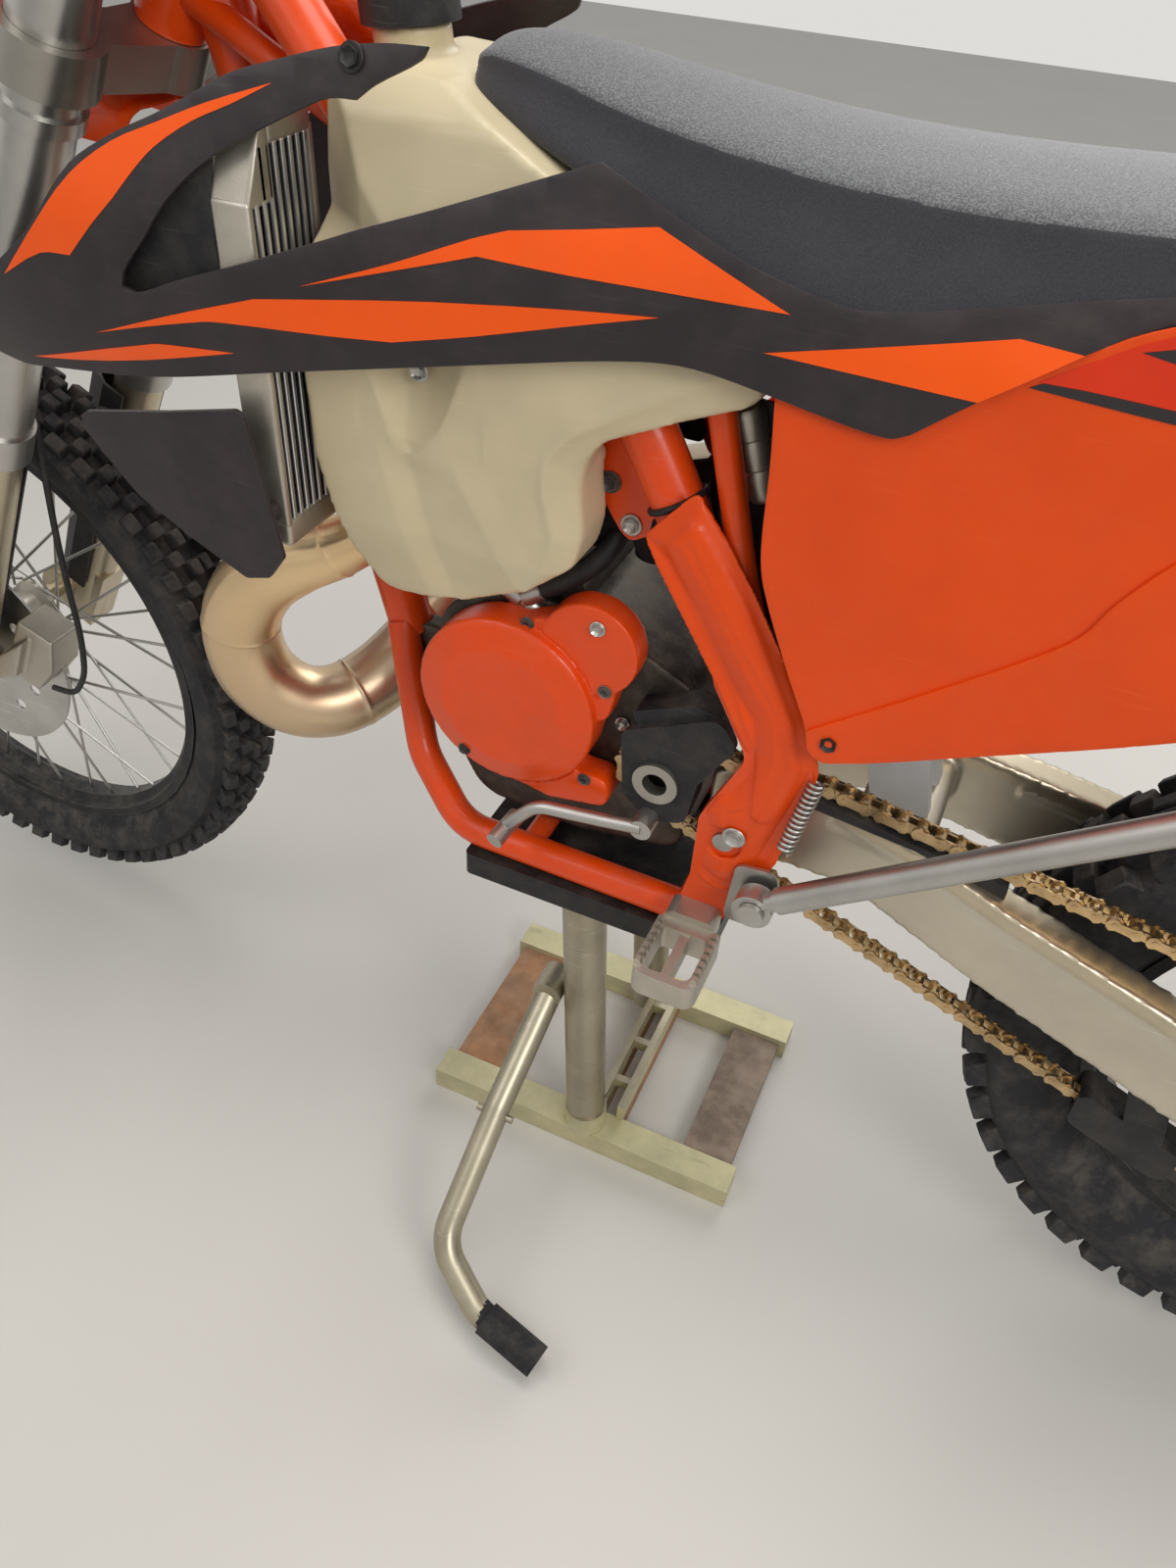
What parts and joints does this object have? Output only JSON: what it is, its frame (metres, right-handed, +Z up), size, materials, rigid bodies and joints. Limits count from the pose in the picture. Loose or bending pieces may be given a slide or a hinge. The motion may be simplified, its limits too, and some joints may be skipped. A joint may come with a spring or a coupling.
{
  "type": "off-road motorcycle on lift stand",
  "caption": "Enduro dirt bike with wire wheels, held by its frame on a low steel lift stand, both wheels clear of the floor.",
  "frame": {"origin": "on the floor, under the middle of the bounding box", "axes": "+X towards the rear of the bike, +Y towards its right side, +Z up"},
  "size_m": [2.1997, 0.8194, 1.3468],
  "materials": {
    "tyre_rubber": "matt moulded rubber",
    "black_rim": "satin black anodised rim",
    "disc_steel": "ground steel",
    "sprocket_steel": "plain steel",
    "chain_steel": "oiled steel",
    "cast_alloy": "sand-textured cast alloy",
    "fork_tube_black": "satin anodised tube",
    "clamp_alloy": "machined alloy",
    "bar_black": "satin black",
    "soft_grip": "ribbed soft rubber",
    "black_plastic": "textured black",
    "charcoal_plastic": "satin charcoal",
    "orange_plastic": "gloss orange",
    "cream_plastic": "cloudy cream",
    "lamp_lens": "clear lens over a reflector",
    "red_lens": "red lens",
    "frame_paint": "orange powder coat",
    "arm_alloy": "blasted alloy",
    "engine_alloy": "dark cast alloy",
    "cover_black": "worn black enamel",
    "exhaust_bronze": "heat-tinted steel",
    "silencer_alloy": "brushed alloy",
    "zinc_steel": "zinc-plated steel",
    "spring_paint": "white enamel spring",
    "seat_cover": "grained seat cover",
    "stand_olive": "worn olive paint",
    "hose_black": "black hose"
  },
  "bodies": {
    "chassis": {"drive_chain": "chain_steel", "frame": "frame_paint", "frame_guards": "orange_plastic", "swingarm": "arm_alloy", "axle_bolts": "zinc_steel", "chain_guide": "black_plastic", "shock_absorber": "spring_paint", "engine_cases": "engine_alloy", "engine_cylinder": "engine_alloy", "ignition_cover": "orange_plastic", "sprocket_cover": "black_plastic", "clutch_cover": "cover_black", "exhaust_chamber": "exhaust_bronze", "silencer": "silencer_alloy", "foot_levers": "zinc_steel", "foot_pegs": "cast_alloy", "stand_bracket": "zinc_steel", "radiators": "clamp_alloy", "fuel_tank": "cream_plastic", "fuel_cap": "black_plastic", "shrouds": "charcoal_plastic", "lower_spoilers": "charcoal_plastic", "seat": "seat_cover", "side_panels": "orange_plastic", "airbox": "black_plastic", "intake": "black_plastic", "rear_fender": "orange_plastic", "subframe": "silencer_alloy", "tail_lamp": "red_lens", "rear_caliper": "cast_alloy", "lift_stand": "stand_olive", "lift_lever": "stand_olive"},
    "steering": {"fork_sliders": "cast_alloy", "fork_tubes": "fork_tube_black", "triple_clamps": "clamp_alloy", "handlebar": "bar_black", "hand_grips": "soft_grip", "hand_levers": "zinc_steel", "front_fender": "orange_plastic", "headlamp": "lamp_lens", "lamp_mask": "orange_plastic", "fork_guards": "black_plastic", "front_caliper": "cast_alloy", "brake_hose": "hose_black"},
    "front_wheel_set": {"front_tyre": "tyre_rubber", "front_wheel": "black_rim", "front_disc": "disc_steel"},
    "rear_wheel_set": {"rear_tyre": "tyre_rubber", "rear_wheel": "black_rim", "rear_disc": "disc_steel", "rear_sprocket": "sprocket_steel"},
    "stand_leg": {"side_stand": "zinc_steel"}
  },
  "joints": [
    {"name": "steering_turn", "type": "hinge", "parent": "chassis", "child": "steering", "pos_m": [-0.33898, 0, 1.12809], "axis": [0.4462, 0, 0.8949], "range_deg": [-42, 42]},
    {"name": "front_wheel_spin", "type": "hinge", "parent": "steering", "child": "front_wheel_set", "pos_m": [-0.7505, 0, 0.417], "axis": [0, 1, 0], "continuous": true},
    {"name": "rear_wheel_spin", "type": "hinge", "parent": "chassis", "child": "rear_wheel_set", "pos_m": [0.7295, 0, 0.411], "axis": [0, 1, 0], "continuous": true},
    {"name": "side_stand_swing", "type": "hinge", "parent": "chassis", "child": "stand_leg", "pos_m": [0.1975, -0.127, 0.512], "axis": [0, 1, 0], "range_deg": [0, 136], "stiffness_Nm_per_rad": 3, "springref_deg": -34.38}
  ]
}
